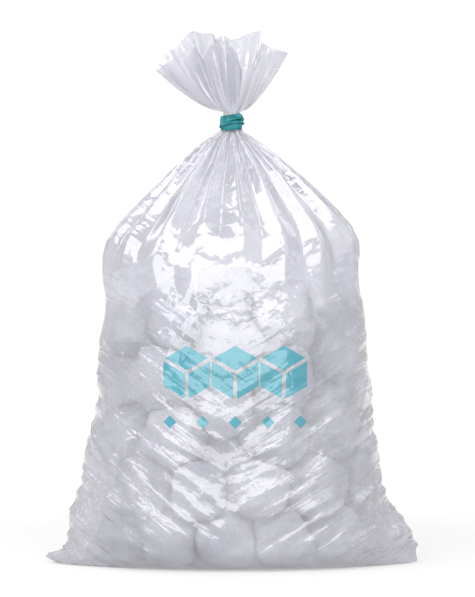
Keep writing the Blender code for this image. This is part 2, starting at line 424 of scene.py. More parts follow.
def fitted(grid):
    """The grid with each row stretched to the bag's outline, left and right of the middle."""
    grid = grid.copy()
    for side, column in ((0, 1), (1, 2)):
        way = 2 * side - 1
        reach = np.max(way * grid[..., 0], axis=1)
        wanted = way * np.interp(grid[..., 2].mean(axis=1), OUTLINE[:, 0], OUTLINE[:, column])
        stretch = np.clip(wanted / reach, *FIT_LIMITS)
        stretch = np.pad(stretch, FIT_SPAN // 2, mode="edge")
        stretch = np.convolve(stretch, np.ones(FIT_SPAN) / FIT_SPAN, mode="valid")
        mine = way * grid[..., 0] > 0
        grid[..., 0] *= np.where(mine, stretch[:, None], 1.0)
    return grid


def bridged(grid):
    """The grid with the film pulled straight from the top cubes to the shoulder."""
    low, high = [int(np.searchsorted(body_heights, height)) for height in BRIDGED]
    share = np.linspace(0, 1, high - low + 1)[:, None, None]
    line = grid[low] * (1 - share) + grid[high] * share
    out = outward(grid[low : high + 1])
    hollow = np.sum((line - grid[low : high + 1]) * out, axis=2, keepdims=True)
    grid = grid.copy()
    grid[low : high + 1] += BRIDGE_TIGHTNESS * np.clip(hollow, 0, None) * out
    return grid


body = fitted(bridged(relaxed(cling(body), RELAX_ROUNDS)))
points = body.reshape(-1, 3)
print("clinging film:", points.min(axis=0).round(4), points.max(axis=0).round(4))

# %% [markdown]
# ## Creases
# A bag that was dropped and stood up again keeps hard creases. Low on the body they run down and
# inwards from both sides, like the folds of a hammock. Such a crease is a narrow ridge, so each
# point is pushed out by a stretched, ridged noise, and a few long folds are laid one by one.

# %% Crease the body
CREASE_HEIGHT = 2.3 * MM
CREASE_LENGTH = 60 * MM
CREASE_SPACING = 11 * MM
CREASE_SLOPES = (-0.72, 0.60)
CREASE_NARROWNESS = 2.4
CREASE_SHARPNESS = 1.4
# Creases start above the seal, are strong low down, and end under the cone
CREASE_START = (2 * MM, 14 * MM)
CREASE_FADE = (90 * MM, 100 * MM)
CREASE_END = 200 * MM
CREASE_LEAST = 0.12
# The sides meet over this half width, and the middle of the bag is creased less than its edges
SIDES_MEET = 40 * MM
MIDDLE_STRENGTH = 0.45
EDGE_REACH = 80 * MM
# Ends (x, z), height and half width of the long folds on the front, in millimetres
LONG_FOLDS = [
    ((-75, 114), (-40, 86), 2.2, 1.9),
    ((-46, 90), (-8, 69), 3.2, 1.9),
    ((-6, 68), (40, 88), 3.4, 1.9),
    ((-2, 66), (20, 73), 1.8, 1.6),
    ((-78, 96), (-30, 60), 1.6, 1.8),
    ((-92, 78), (-48, 44), 1.6, 1.8),
    ((-98, 56), (-58, 26), 1.5, 1.7),
    ((62, 14), (90, 26), 2.6, 2.0),
    ((34, 48), (84, 70), 1.5, 1.8),
    ((14, 34), (52, 44), 1.4, 1.6),
    ((60, 92), (88, 122), 1.4, 1.8),
    ((-84, 152), (-60, 120), 1.2, 1.8),
]


def ridge(point, slope, seed):
    """A ridged noise stretched along a slope, from 0 to 1 with sharp crests."""
    length = math.hypot(1, slope)
    along = (point[0] + slope * point[2]) / length
    across = (point[2] - slope * point[0]) / length
    inward = point[1] / CREASE_LENGTH + seed
    value = noise.noise((along / CREASE_LENGTH, across / CREASE_SPACING, inward))
    return max(0.0, 1 - CREASE_NARROWNESS * abs(value)) ** CREASE_SHARPNESS


def crease_heights(grid):
    """How far the fine creases push each point of the body out."""
    raised = np.zeros(grid.shape[:2])
    for row, height in enumerate(body_heights):
        if height > CREASE_END or row == 0:
            continue
        begun = eased((height - CREASE_START[0]) / CREASE_START[1])
        low = begun * (1 - eased((height - CREASE_FADE[0]) / CREASE_FADE[1]))
        here = CREASE_HEIGHT * (CREASE_LEAST + (1 - CREASE_LEAST) * low)
        for column in range(COLUMNS):
            point = grid[row, column]
            side = eased((point[0] / SIDES_MEET + 1) / 2)
            left = ridge(point, CREASE_SLOPES[0], 3.0)
            right = ridge(point, CREASE_SLOPES[1], 9.0)
            edge = MIDDLE_STRENGTH + (1 - MIDDLE_STRENGTH) * min(1, abs(point[0]) / EDGE_REACH)
            raised[row, column] = here * edge * (left * (1 - side) + right * side)
    return raised


def crease_body(grid):
    """The body with its fine creases, and with the long folds on its front."""
    raised = crease_heights(grid)
    front = grid[..., 1] < 0
    for start, end, height, width in LONG_FOLDS:
        a, b = MM * np.array(start), MM * np.array(end)
        place = grid[..., [0, 2]] - a
        share = np.clip(place @ (b - a) / ((b - a) @ (b - a)), 0, 1)
        away = np.linalg.norm(place - share[..., None] * (b - a), axis=2)
        crest = np.exp(-((away / (MM * width)) ** 2)) * np.sin(math.pi * np.clip(share, 0.04, 0.96)) ** 0.6
        raised = np.maximum(raised, np.where(front, MM * height * crest, 0))
    return grid + raised[..., None] * outward(grid)


body = crease_body(body)
print("creased body, half depth:", round(float(np.abs(body[..., 1]).max()) / MM, 1), "mm")

# %% [markdown]
# ## The corners
# The bottom seal is wider than the full body, so its two ends stick out as flat points. The left
# one has curled up off the floor.

# %% Curl the corners
LEFT_CURL = (-115 * MM, 4.5 * MM)
RIGHT_CURL = (119 * MM, 1.8 * MM)
CURL_REACH = 14 * MM
CURL_TOP = 16 * MM


def curl(grid):
    """Lift what lies beyond each corner's fold line, most at its tip and nothing higher up."""
    grid = grid.copy()
    low = 1 - eased(grid[..., 2] / CURL_TOP)
    for (line, lift), way in ((LEFT_CURL, -1), (RIGHT_CURL, 1)):
        beyond = np.clip(way * (grid[..., 0] - line) / CURL_REACH, 0, 1)
        grid[..., 2] += lift * low * beyond**1.4
    return grid


# %% [markdown]
# ## The ruffle
# Above the tie, the open end of the bag fans out in flat facets between sharp pleats. The eye reads
# it by its uneven rim, so the rim is placed point by point, and each column of the film runs
# straight from the tie to its place on the rim.

# %% Ruffle
# Right tip first, then the back edge to the left tip, then the front edge (x, y, z in millimetres)
RIM = MM * np.array(
    [
        [38.7, 0, 348.5], [25.7, 12, 354], [20.9, 6, 356.4], [17.6, 2, 347], [20.3, 5, 364.6],
        [12.7, 12, 363.3], [4.5, 18, 360.5], [-0.3, 22, 360], [-6, 14, 362.3], [-10.3, 20, 359.8],
        [-13.3, 10, 363], [-21.6, 16, 363.8], [-26.2, 8, 364.6], [-29.1, 14, 364],
        [-35.3, 18, 358], [-40.7, 12, 351.8], [-42.9, 4, 351],
        [-50.7, 6, 341.6], [-44, 0, 340], [-51.7, -4, 336.2], [-36.6, -18, 344.5], [-25, -10, 353],
        [-19.5, -24, 341.5], [-13.3, -14, 353], [-3.8, -24, 354.5], [3, -10, 348], [7.2, -22, 334],
        [16, -26, 337], [22.3, -18, 344.5], [30.5, -10, 349.4],
    ]
)
NECK_HEIGHTS = (299 * MM, 303.5 * MM, 307.8 * MM)
NECK_FOLDS = 12
NECK_RADIUS = 5.6 * MM
NECK_FOLD_DEPTH = 0.7 * MM
RUFFLE_ROWS = 20
RUFFLE_OPENING = 0.62
RUFFLE_PLEATS = 30
RUFFLE_SHARPNESS = 1.1
RUFFLE_PLEAT_DEPTH = 1.8 * MM
RUFFLE_STRENGTHS = (0.3, 1.0)


def rim_points():
    """The rim with a point for each column."""
    closed = np.vstack([RIM, RIM[:1]])
    walked = np.concatenate([[0], np.cumsum(np.linalg.norm(np.diff(closed, axis=0), axis=1))])
    places = np.linspace(0, walked[-1], COLUMNS, endpoint=False)
    return np.stack([np.interp(places, walked, closed[:, i]) for i in range(3)], axis=1)


def neck_ring(height):
    """One ring of the gathered neck, fluted by its folds."""
    radius = NECK_RADIUS - NECK_FOLD_DEPTH * (0.5 - 0.5 * np.cos(NECK_FOLDS * TURNS))
    return np.stack([radius * np.cos(TURNS), radius * np.sin(TURNS), np.full(COLUMNS, height)], axis=1)


def ruffle_rows():
    """The film from the neck to the rim: it opens fast at first, and sinks in between its pleats."""
    rim = rim_points()
    foot = neck_ring(NECK_HEIGHTS[-1])
    index, valley = valleys(RUFFLE_PLEATS, RUFFLE_SHARPNESS)(SHARES)
    fold = valley * rng.uniform(*RUFFLE_STRENGTHS, RUFFLE_PLEATS)[index]
    shares = np.linspace(0, 1, RUFFLE_ROWS + 1)[1:]
    rows = []
    for share in shares:
        row = foot + (rim - foot) * share**RUFFLE_OPENING
        row[:, 2] = foot[:, 2] + (rim[:, 2] - foot[:, 2]) * share
        rows.append(row)
    rows = np.array(rows)
    opened = np.sin(math.pi * shares**0.8)
    return rows - (RUFFLE_PLEAT_DEPTH * opened[:, None] * fold)[..., None] * outward(rows)


# %% Foot, neck and ruffle in one grid
FOOT_ROWS = 4


def foot_rows():
    """The flat bottom, from the seal line out to the edge of the foot."""
    rows = []
    for share in np.linspace(0, 1, FOOT_ROWS + 1)[:-1]:
        row = body[0].copy()
        row[:, 1] *= share
        rows.append(row)
    return np.array(rows)


neck = np.array([neck_ring(height) for height in NECK_HEIGHTS])
film_grid = np.concatenate([foot_rows(), body, neck, ruffle_rows()])
film_grid = curl(film_grid)
print("film rows:", len(film_grid))

# %% Film object
FILM_THICKNESS = 0.12 * MM
SHARP_FOLD = 75

film = mesh_object("clear_film_bag", film_grid, grid_faces(len(film_grid)))
bm = bmesh.new()
bm.from_mesh(film.data)
bmesh.ops.remove_doubles(bm, verts=bm.verts, dist=1e-5)
bmesh.ops.recalc_face_normals(bm, faces=bm.faces)
bm.to_mesh(film.data)
bm.free()
wall = film.modifiers.new("wall", "SOLIDIFY")
wall.thickness = FILM_THICKNESS
wall.offset = -1
apply_modifiers(film)
bpy.ops.object.shade_smooth_by_angle(angle=math.radians(SHARP_FOLD))
print("film:", len(film.data.polygons), "faces")

# %% [markdown]
# ## The ice
# Bagged cubes are clear at the rim, cloudy in the middle and rounded by melting. Each solid is
# copied, its flat-sided mesh is rebuilt in even small faces, smoothing melts its edges, and a
# coarse noise gives it the dents and lumps of ice that froze to its neighbours. The cubes under the
# load of the others melt most. Those on top are heaped up in the middle and lie lower at the sides.

# %% Ice cubes
ICE_VOXEL = 1.7 * MM
MELT_FACTOR = 0.6
MELT_ROUNDS = 10
DENT_SIZE = 16 * MM
DENT_DEPTH = 2.6 * MM
TOP_LAYER = 180 * MM
TOP_HEAP = 1.22
TOP_DROP = 0.5
TOP_REACH = 85 * MM
LOW_MELT_ROUNDS = 26
LOW_LAYER = (20 * MM, 90 * MM)


def melted_cube(node):
    """One cube with melted edges: rounder low down, and on top taller the nearer the middle."""
    mesh = node.data.copy()
    heights = [vertex.co.z for vertex in mesh.vertices]
    middle = sum((vertex.co for vertex in mesh.vertices), Vector()) / len(mesh.vertices)
    if max(heights) > TOP_LAYER:
        tall = TOP_HEAP - TOP_DROP * eased(abs(middle.x) / TOP_REACH)
        for vertex in mesh.vertices:
            vertex.co.z = min(heights) + tall * (vertex.co.z - min(heights))
    obj = bpy.data.objects.new(node.name.replace("ice_cube", "melted_cube"), mesh)
    bpy.context.scene.collection.objects.link(obj)
    bm = bmesh.new()
    bm.from_mesh(mesh)
    bmesh.ops.remove_doubles(bm, verts=bm.verts, dist=1e-5)
    bm.to_mesh(mesh)
    bm.free()
    remesh = obj.modifiers.new("even faces", "REMESH")
    remesh.mode = "VOXEL"
    remesh.voxel_size = ICE_VOXEL
    smooth = obj.modifiers.new("melt", "SMOOTH")
    smooth.factor = MELT_FACTOR
    smooth.iterations = round(np.interp(middle.z, LOW_LAYER, (LOW_MELT_ROUNDS, MELT_ROUNDS)))
    dents = bpy.data.textures.new("dents", "CLOUDS")
    dents.noise_scale = DENT_SIZE
    dents.noise_depth = 1
    lumps = obj.modifiers.new("dents", "DISPLACE")
    lumps.texture = dents
    lumps.texture_coords = "LOCAL"
    lumps.mid_level = 0.5
    lumps.strength = DENT_DEPTH
    apply_modifiers(obj)
    obj.data.shade_smooth()
    return obj


cubes = [melted_cube(node) for name, node in frame["nodes"].items() if name.startswith("ice_cube")]
print("cubes:", len(cubes), "faces:", sum(len(c.data.polygons) for c in cubes))

# %% [markdown]
# ## The band
# A flat rubber band was wound round the neck four times. Each turn lies askew, leans in at its top
# and twists as it goes. One could sweep it along a single long spiral, but the eye only sees turns
# that cross, so each turn is a ring of its own: flattened, leant, twisted and tilted.

# %% Rubber band
# Height, radius and half width in millimetres, then tilt right, tilt front, lean and twist in degrees
BAND_TURNS = [
    (297.6, 6.9, 2.5, 4, 0, -4, 8),
    (300.4, 7.6, 2.0, 9, 6, 24, 10),
    (303.0, 7.6, 2.5, 13, 6, 22, 14),
    (303.2, 7.0, 2.4, 4, 0, 0, 10),
]
BAND_HALF_THICKNESS = 0.55 * MM
BAND_SEGMENTS = 120
BAND_SIDES = 14
BAND_LUMP = 0.3 * MM
BAND_LUMP_SIZE = 5 * MM


def band_turn(number, height, radius, half_width, tilt_right, tilt_front, lean, twist):
    """One turn of the band: a torus, flattened, leant and twisted along its way, then tilted."""
    bpy.ops.mesh.primitive_torus_add(
        major_segments=BAND_SEGMENTS,
        minor_segments=BAND_SIDES,
        major_radius=radius * MM,
        minor_radius=BAND_HALF_THICKNESS,
    )
    turn = bpy.context.object
    for vertex in turn.data.vertices:
        around = math.atan2(vertex.co.y, vertex.co.x)
        out = math.hypot(vertex.co.x, vertex.co.y) - radius * MM
        up = vertex.co.z * half_width * MM / BAND_HALF_THICKNESS
        angle = math.radians(lean + twist * math.sin(2 * around + 1.9 * number))
        out, up = (
            out * math.cos(angle) - up * math.sin(angle),
            out * math.sin(angle) + up * math.cos(angle),
        )
        lump = noise.noise(Vector((*vertex.co.xy, number * radius * MM)) / BAND_LUMP_SIZE)
        reach = radius * MM + out + BAND_LUMP * lump
        vertex.co = (reach * math.cos(around), reach * math.sin(around), up)
    bpy.ops.object.mode_set(mode="EDIT")
    bpy.ops.mesh.select_all(action="SELECT")
    centre = {"center_override": (0, 0, 0)}
    bpy.ops.transform.rotate(value=math.radians(tilt_right), orient_axis="Y", **centre)
    bpy.ops.transform.rotate(value=math.radians(tilt_front), orient_axis="X", **centre)
    bpy.ops.transform.translate(value=(0, 0, height * MM))
    bpy.ops.object.mode_set(mode="OBJECT")
    return turn


turns = [band_turn(number, *values) for number, values in enumerate(BAND_TURNS)]
bpy.ops.object.select_all(action="DESELECT")
for turn in turns:
    turn.select_set(True)
bpy.context.view_layer.objects.active = turns[0]
bpy.ops.object.join()
band = bpy.context.object
band.name = "wound_rubber_band"
bpy.ops.object.shade_smooth()
print("band:", [round(v / MM, 1) for v in band.dimensions], "mm")

# %% [markdown]
# ## What the film is made of
# Polyethylene film is clear, but cold film mists over: tiny drops of dew scatter the light and turn
# it a soft grey. So the material goes from clear to misted by a noise, and its transmission,
# colour and roughness follow. A glass shader alone would look wet and dark. The print is teal ink
# on the front, drawn by plain arithmetic on the object's own millimetres.

# %% Print on the film
PRINT_CENTRE = (3 * MM, 132 * MM)
CUBE_STEP = 32 * MM
CUBE_SIDE = 17.8 * MM
SPOKE_GAP = 1.3 * MM
DOT_CENTRE = 99.5 * MM
DOT_STEP = 21.5 * MM
DOT_SIZE = 4.3 * MM
INK_WOBBLE = 0.7 * MM
# The print is on the front only, before this depth
PRINT_FRONT = -20 * MM
CUBES_PRINTED = 3
DIAMONDS_PRINTED = 5


def printed_cubes(tree, place):
    """1 inside three cubes seen from a corner and five diamonds under them, 0 elsewhere."""
    wobble = add_node(tree, "ShaderNodeTexNoise", {"Scale": 400.0}, {"Vector": place})
    shaken = add_node(
        tree,
        "ShaderNodeVectorMath",
        {"operation": "MULTIPLY_ADD", 1: (INK_WOBBLE,) * 3},
        {0: wobble.outputs["Color"], 2: place},
    )
    axes = add_node(tree, "ShaderNodeSeparateXYZ", links={0: shaken.outputs[0]})
    masks = []
    for step, level, count in (
        (CUBE_STEP, PRINT_CENTRE[1], CUBES_PRINTED),
        (DOT_STEP, DOT_CENTRE, DIAMONDS_PRINTED),
    ):
        x = add_node(
            tree, "ShaderNodeMath", {"operation": "SUBTRACT", 1: PRINT_CENTRE[0]}, {0: axes.outputs["X"]}
        )
        z = add_node(tree, "ShaderNodeMath", {"operation": "SUBTRACT", 1: level}, {0: axes.outputs["Z"]})
        wrapped = add_node(
            tree, "ShaderNodeMath", {"operation": "WRAP", 1: step / 2, 2: -step / 2}, {0: x.outputs[0]}
        )
        across = add_node(tree, "ShaderNodeMath", {"operation": "ABSOLUTE"}, {0: x.outputs[0]})
        within = add_node(
            tree, "ShaderNodeMath", {"operation": "LESS_THAN", 1: count * step / 2}, {0: across.outputs[0]}
        )
        point = add_node(
            tree, "ShaderNodeCombineXYZ", links={"X": wrapped.outputs[0], "Y": z.outputs[0]}
        )
        shape = (cube_mask if count == CUBES_PRINTED else diamond_mask)(tree, point)
        mask = add_node(
            tree, "ShaderNodeMath", {"operation": "MULTIPLY"}, {0: shape.outputs[0], 1: within.outputs[0]}
        )
        masks.append(mask.outputs[0])
    both = add_node(tree, "ShaderNodeMath", {"operation": "MAXIMUM"}, {0: masks[0], 1: masks[1]})
    front = add_node(
        tree, "ShaderNodeMath", {"operation": "LESS_THAN", 1: PRINT_FRONT}, {0: axes.outputs["Y"]}
    )
    return add_node(
        tree, "ShaderNodeMath", {"operation": "MULTIPLY"}, {0: both.outputs[0], 1: front.outputs[0]}
    )


def cube_mask(tree, point):
    """A hexagon parted by three spokes, as a cube looks from one corner."""
    widest, nearest = None, None
    for turn in (0, 120, 240):
        angle = math.radians(turn - 90)
        spoke = (math.cos(angle), math.sin(angle), 0)
        beside = (-spoke[1], spoke[0], 0)
        along = add_node(
            tree, "ShaderNodeVectorMath", {"operation": "DOT_PRODUCT", 1: spoke}, {0: point.outputs[0]}
        )
        off = add_node(
            tree, "ShaderNodeVectorMath", {"operation": "DOT_PRODUCT", 1: beside}, {0: point.outputs[0]}
        )
        away = add_node(tree, "ShaderNodeMath", {"operation": "ABSOLUTE"}, {0: off.outputs["Value"]})
        behind = add_node(
            tree, "ShaderNodeMath", {"operation": "LESS_THAN", 1: 0.0}, {0: along.outputs["Value"]}
        )
        clear = add_node(
            tree, "ShaderNodeMath", {"operation": "ADD"}, {0: away.outputs[0], 1: behind.outputs[0]}
        )
        if widest is None:
            widest, nearest = away, clear
            continue
        widest = add_node(
            tree, "ShaderNodeMath", {"operation": "MAXIMUM"}, {0: widest.outputs[0], 1: away.outputs[0]}
        )
        nearest = add_node(
            tree, "ShaderNodeMath", {"operation": "MINIMUM"}, {0: nearest.outputs[0], 1: clear.outputs[0]}
        )
    inside = add_node(
        tree,
        "ShaderNodeMath",
        {"operation": "LESS_THAN", 1: CUBE_SIDE * math.sqrt(3) / 2},
        {0: widest.outputs[0]},
    )
    off_spokes = add_node(
        tree, "ShaderNodeMath", {"operation": "GREATER_THAN", 1: SPOKE_GAP}, {0: nearest.outputs[0]}
    )
    return add_node(
        tree, "ShaderNodeMath", {"operation": "MULTIPLY"}, {0: inside.outputs[0], 1: off_spokes.outputs[0]}
    )


def diamond_mask(tree, point):
    """A square that stands on its corner."""
    size = add_node(tree, "ShaderNodeVectorMath", {"operation": "ABSOLUTE"}, {0: point.outputs[0]})
    reach = add_node(
        tree, "ShaderNodeVectorMath", {"operation": "DOT_PRODUCT", 1: (1, 1, 0)}, {0: size.outputs[0]}
    )
    return add_node(
        tree, "ShaderNodeMath", {"operation": "LESS_THAN", 1: DOT_SIZE}, {0: reach.outputs["Value"]}
    )


# %% Mist on the film
# Sizes of the patches of mist and of the drops of dew, in millimetres
MIST_PATCH = 34
DEW_DROP = 1.6
# Height in millimetres and how misted the film is there, from 0 to 1
MIST_BY_HEIGHT = (
    (0, 0.5), (60, 0.5), (130, 0.46), (190, 0.42), (215, 0.38), (245, 0.2), (292, 0.25), (306, 0.6)
)
TABLE_TOP = 370
MIST_SIDE = (70 * MM, 100 * MM)


def by_height(tree, axes, table):
    """A value that changes with the height, as the table of heights and values says."""
    level = add_node(
        tree, "ShaderNodeMath", {"operation": "DIVIDE", 1: TABLE_TOP * MM}, {0: axes.outputs["Z"]}
    )
    profile = add_node(tree, "ShaderNodeValToRGB", links={"Fac": level.outputs[0]})
    ramp = profile.color_ramp.elements
    for number, (height, amount) in enumerate(table):
        stop = ramp[number] if number < 2 else ramp.new(height / TABLE_TOP)
        stop.position = height / TABLE_TOP
        stop.color = (amount, amount, amount, 1)
    return profile.outputs["Color"]


def film_mist(tree, place):
    """How misted each place of the film is, from 0 to 1."""
    axes = add_node(tree, "ShaderNodeSeparateXYZ", links={0: place})
    patches = add_node(
        tree, "ShaderNodeTexNoise", {"Scale": 1000 / MIST_PATCH, "Detail": 5.0}, {"Vector": place}
    )
    drops = add_node(
        tree, "ShaderNodeTexNoise", {"Scale": 1000 / DEW_DROP, "Detail": 1.0}, {"Vector": place}
    )
    aside = add_node(tree, "ShaderNodeMath", {"operation": "ABSOLUTE"}, {0: axes.outputs["X"]})
    parts = [
        (patches.outputs["Fac"], 0.38, 0.66, -0.2, 0.2),
        (drops.outputs["Fac"], 0.35, 0.70, -0.05, 0.07),
        (aside.outputs[0], *MIST_SIDE, 0.0, 0.3),
    ]
    mist = by_height(tree, axes, MIST_BY_HEIGHT)
    for source, low, high, least, most in parts:
        part = add_node(
            tree,
            "ShaderNodeMapRange",
            {"From Min": low, "From Max": high, "To Min": least, "To Max": most},
            {"Value": source},
        )
        summed = add_node(
            tree, "ShaderNodeMath", {"operation": "ADD", "use_clamp": True}, {0: mist, 1: part.outputs[0]}
        )
        mist = summed.outputs[0]
    return mist, drops


# %% Wrinkles on the film
# Wrinkles finer than the mesh, in millimetres, and how they turn on the left and on the right
WRINKLE_LENGTH = 75
WRINKLE_SPACING = 8
WRINKLE_HEIGHT = 0.5
WRINKLE_TURNS = (36, -31)
WRINKLE_CREST = 0.12
WRINKLES_MEET = 25
# Where wrinkles grow from weak to full towards the edges, and fade on the way up
WRINKLED_BESIDE = (25, 75, 0.35)
WRINKLED_BELOW = (110, 190, 0.25)


def film_wrinkles(tree, place):
    """The height of the fine wrinkles, which run down and inwards from both sides."""
    axes = add_node(tree, "ShaderNodeSeparateXYZ", links={0: place})
    crests = []
    for angle in WRINKLE_TURNS:
        turned = add_node(
            tree,
            "ShaderNodeMapping",
            {
                "vector_type": "TEXTURE",
                "Rotation": (0, math.radians(angle), 0),
                "Scale": (WRINKLE_LENGTH * MM, WRINKLE_LENGTH * MM, WRINKLE_SPACING * MM),
            },
            {"Vector": place},
        )
        waves = add_node(
            tree, "ShaderNodeTexNoise", {"Scale": 1.0, "Detail": 2.0}, {"Vector": turned.outputs[0]}
        )
        middle = add_node(
            tree, "ShaderNodeMath", {"operation": "SUBTRACT", 1: 0.5}, {0: waves.outputs["Fac"]}
        )
        off = add_node(tree, "ShaderNodeMath", {"operation": "ABSOLUTE"}, {0: middle.outputs[0]})
        crest = add_node(
            tree,
            "ShaderNodeMapRange",
            {"From Max": WRINKLE_CREST, "To Min": 1.0, "To Max": 0.0},
            {"Value": off.outputs[0]},
        )
        crests.append(crest.outputs[0])
    side = add_node(
        tree,
        "ShaderNodeMapRange",
        {"From Min": -WRINKLES_MEET * MM, "From Max": WRINKLES_MEET * MM},
        {"Value": axes.outputs["X"]},
    )
    joined = add_node(tree, "ShaderNodeMix", links={0: side.outputs[0], 2: crests[0], 3: crests[1]})
    aside = add_node(tree, "ShaderNodeMath", {"operation": "ABSOLUTE"}, {0: axes.outputs["X"]})
    weak, full, least = WRINKLED_BESIDE
    outer = add_node(
        tree,
        "ShaderNodeMapRange",
        {"From Min": weak * MM, "From Max": full * MM, "To Min": least, "To Max": 1.0},
        {"Value": aside.outputs[0]},
    )
    low, high, least = WRINKLED_BELOW
    fading = add_node(
        tree,
        "ShaderNodeMapRange",
        {"From Min": low * MM, "From Max": high * MM, "To Min": 1.0, "To Max": least},
        {"Value": axes.outputs["Z"]},
    )
    weaker = add_node(
        tree, "ShaderNodeMath", {"operation": "MULTIPLY"}, {0: outer.outputs[0], 1: fading.outputs[0]}
    )
    return add_node(
        tree, "ShaderNodeMath", {"operation": "MULTIPLY"}, {0: joined.outputs[0], 1: weaker.outputs[0]}
    )


# %% Film material
# Size and depth of the facets that packing leaves in the film, in millimetres
FACETS = ((14, 0.85), (5.5, 0.12))
# Height in millimetres and how strong the facets are there: the stretched cone is smoother
FACETS_BY_HEIGHT = ((0, 1.0), (180, 1.0), (215, 0.35), (268, 0.35), (288, 1.0))
FACET_SHAKE = 9 * MM


def film_material():
    """Blown polyethylene film: clear and glossy, misted in patches, printed on the front."""
    material, tree, output = new_material("polyethylene film, blown and misted")
    place = add_node(tree, "ShaderNodeTexCoord").outputs["Object"]
    mist, drops = film_mist(tree, place)
    tint = add_node(
        tree,
        "ShaderNodeMix",
        {"data_type": "RGBA", 6: colour("ECECF2"), 7: colour("D8D8E0")},
        {0: mist},
    )
    ink = printed_cubes(tree, place)
    inked = add_node(
        tree,
        "ShaderNodeMix",
        {"data_type": "RGBA", 7: colour("4A9CAC")},
        {0: ink.outputs[0], 6: tint.outputs[2]},
    )
    clear = add_node(tree, "ShaderNodeMapRange", {"To Min": 0.97, "To Max": 0.62}, {"Value": mist})
    ink_cover = add_node(
        tree, "ShaderNodeMapRange", {"To Min": 1.0, "To Max": 0.45}, {"Value": ink.outputs[0]}
    )
    let_through = add_node(
        tree, "ShaderNodeMath", {"operation": "MULTIPLY"}, {0: clear.outputs[0], 1: ink_cover.outputs[0]}
    )
    dull = add_node(tree, "ShaderNodeMapRange", {"To Min": 0.04, "To Max": 0.14}, {"Value": mist})
    shake = add_node(tree, "ShaderNodeTexNoise", {"Scale": 90.0, "Detail": 2.0}, {"Vector": place})
    shaken = add_node(
        tree,
        "ShaderNodeVectorMath",
        {"operation": "MULTIPLY_ADD", 1: (FACET_SHAKE,) * 3},
        {0: shake.outputs["Color"], 2: place},
    )
    axes = add_node(tree, "ShaderNodeSeparateXYZ", links={0: place})
    strength = by_height(tree, axes, FACETS_BY_HEIGHT)
    surface = add_node(
        tree,
        "ShaderNodeBump",
        {"Strength": 1.0, "Distance": WRINKLE_HEIGHT * MM},
        {"Height": film_wrinkles(tree, place).outputs[0]},
    )
    for size, depth in FACETS:
        facets = add_node(
            tree,
            "ShaderNodeTexVoronoi",
            {"feature": "DISTANCE_TO_EDGE", "Scale": 1000 / size},
            {"Vector": shaken.outputs[0]},
        )
        surface = add_node(
            tree,
            "ShaderNodeBump",
            {"Distance": depth * MM},
            {"Strength": strength, "Height": facets.outputs[0], "Normal": surface.outputs[0]},
        )
    dewy = add_node(
        tree,
        "ShaderNodeBump",
        {"Strength": 0.5, "Distance": 0.03 * MM},
        {"Height": drops.outputs["Fac"], "Normal": surface.outputs[0]},
    )
    shader = add_node(
        tree,
        "ShaderNodeBsdfPrincipled",
        {"IOR": 1.5, "Coat Weight": 0.6, "Coat Roughness": 0.04},
        {
            "Base Color": inked.outputs[2],
            "Roughness": dull.outputs[0],
            "Transmission Weight": let_through.outputs[0],
            "Normal": dewy.outputs[0],
            "Coat Normal": surface.outputs[0],
        },
    )
    tree.links.new(shader.outputs["BSDF"], output.inputs["Surface"])
    return material


film.data.materials.append(film_material())
print("film material ready")

# %% [markdown]
# ## What the ice is made of
# Ice from a machine freezes from the outside in, and traps air in its middle. It is clear where it
# is thin and milky where it is thick. Plain transmission with the index of ice gives the first, a
# cloudy noise in the transmission gives the second, and a little absorption turns its depths grey.

# %% Ice material
# Sizes in millimetres: cloudy middles, frost, and the change of tone from cube to cube
CLOUD = 26
FROST = 5
TONE = 50


def ice_material():
    """Frozen water with air in it: frosted by meltwater that froze again."""
    material, tree, output = new_material("frozen water, cloudy")
    place = add_node(tree, "ShaderNodeTexCoord").outputs["Object"]
    cloud = add_node(
        tree, "ShaderNodeTexNoise", {"Scale": 1000 / CLOUD, "Detail": 3.0}, {"Vector": place}
    )
    frost = add_node(
        tree, "ShaderNodeTexNoise", {"Scale": 1000 / FROST, "Detail": 1.0}, {"Vector": place}
    )
    clear = add_node(
        tree,
        "ShaderNodeMapRange",
        {"From Min": 0.35, "From Max": 0.65, "To Min": 0.35, "To Max": 0.1},
        {"Value": cloud.outputs["Fac"]},
    )
    dull = add_node(
        tree,
        "ShaderNodeMapRange",
        {"From Min": 0.3, "From Max": 0.7, "To Min": 0.28, "To Max": 0.36},
        {"Value": frost.outputs["Fac"]},
    )
    change = add_node(
        tree, "ShaderNodeTexNoise", {"Scale": 1000 / TONE, "Detail": 1.0}, {"Vector": place}
    )
    lighter = add_node(
        tree,
        "ShaderNodeMapRange",
        {"From Min": 0.4, "From Max": 0.6},
        {"Value": change.outputs["Fac"]},
    )
    tone = add_node(
        tree,
        "ShaderNodeMix",
        {"data_type": "RGBA", 6: colour("EAEAF0"), 7: colour("FEFEFF")},
        {0: lighter.outputs[0]},
    )
    rough = add_node(
        tree,
        "ShaderNodeBump",
        {"Strength": 0.3, "Distance": 0.15 * MM},
        {"Height": frost.outputs["Fac"]},
    )
    shader = add_node(
        tree,
        "ShaderNodeBsdfPrincipled",
        {"IOR": 1.31},
        {
            "Base Color": tone.outputs[2],
            "Roughness": dull.outputs[0],
            "Transmission Weight": clear.outputs[0],
            "Normal": rough.outputs[0],
        },
    )
    depth = add_node(
        tree, "ShaderNodeVolumeAbsorption", {"Color": colour("D6D9EA"), "Density": 1.0}
    )
    tree.links.new(shader.outputs["BSDF"], output.inputs["Surface"])
    tree.links.new(depth.outputs["Volume"], output.inputs["Volume"])
    return material


ice = ice_material()
for cube in cubes:
    cube.data.materials.clear()
    cube.data.materials.append(ice)
print("ice material ready")

# %% [markdown]
# ## What the band is made of
# A latex band has a soft sheen. Its colour goes between three teals by a noise stretched along its
# turns: the darker teals are painted shade of its folds, laid in patches, and the lightest is its own teal.

# %% Rubber material
# Size of the patches of painted shade, in millimetres
SHADE_PATCH = 5


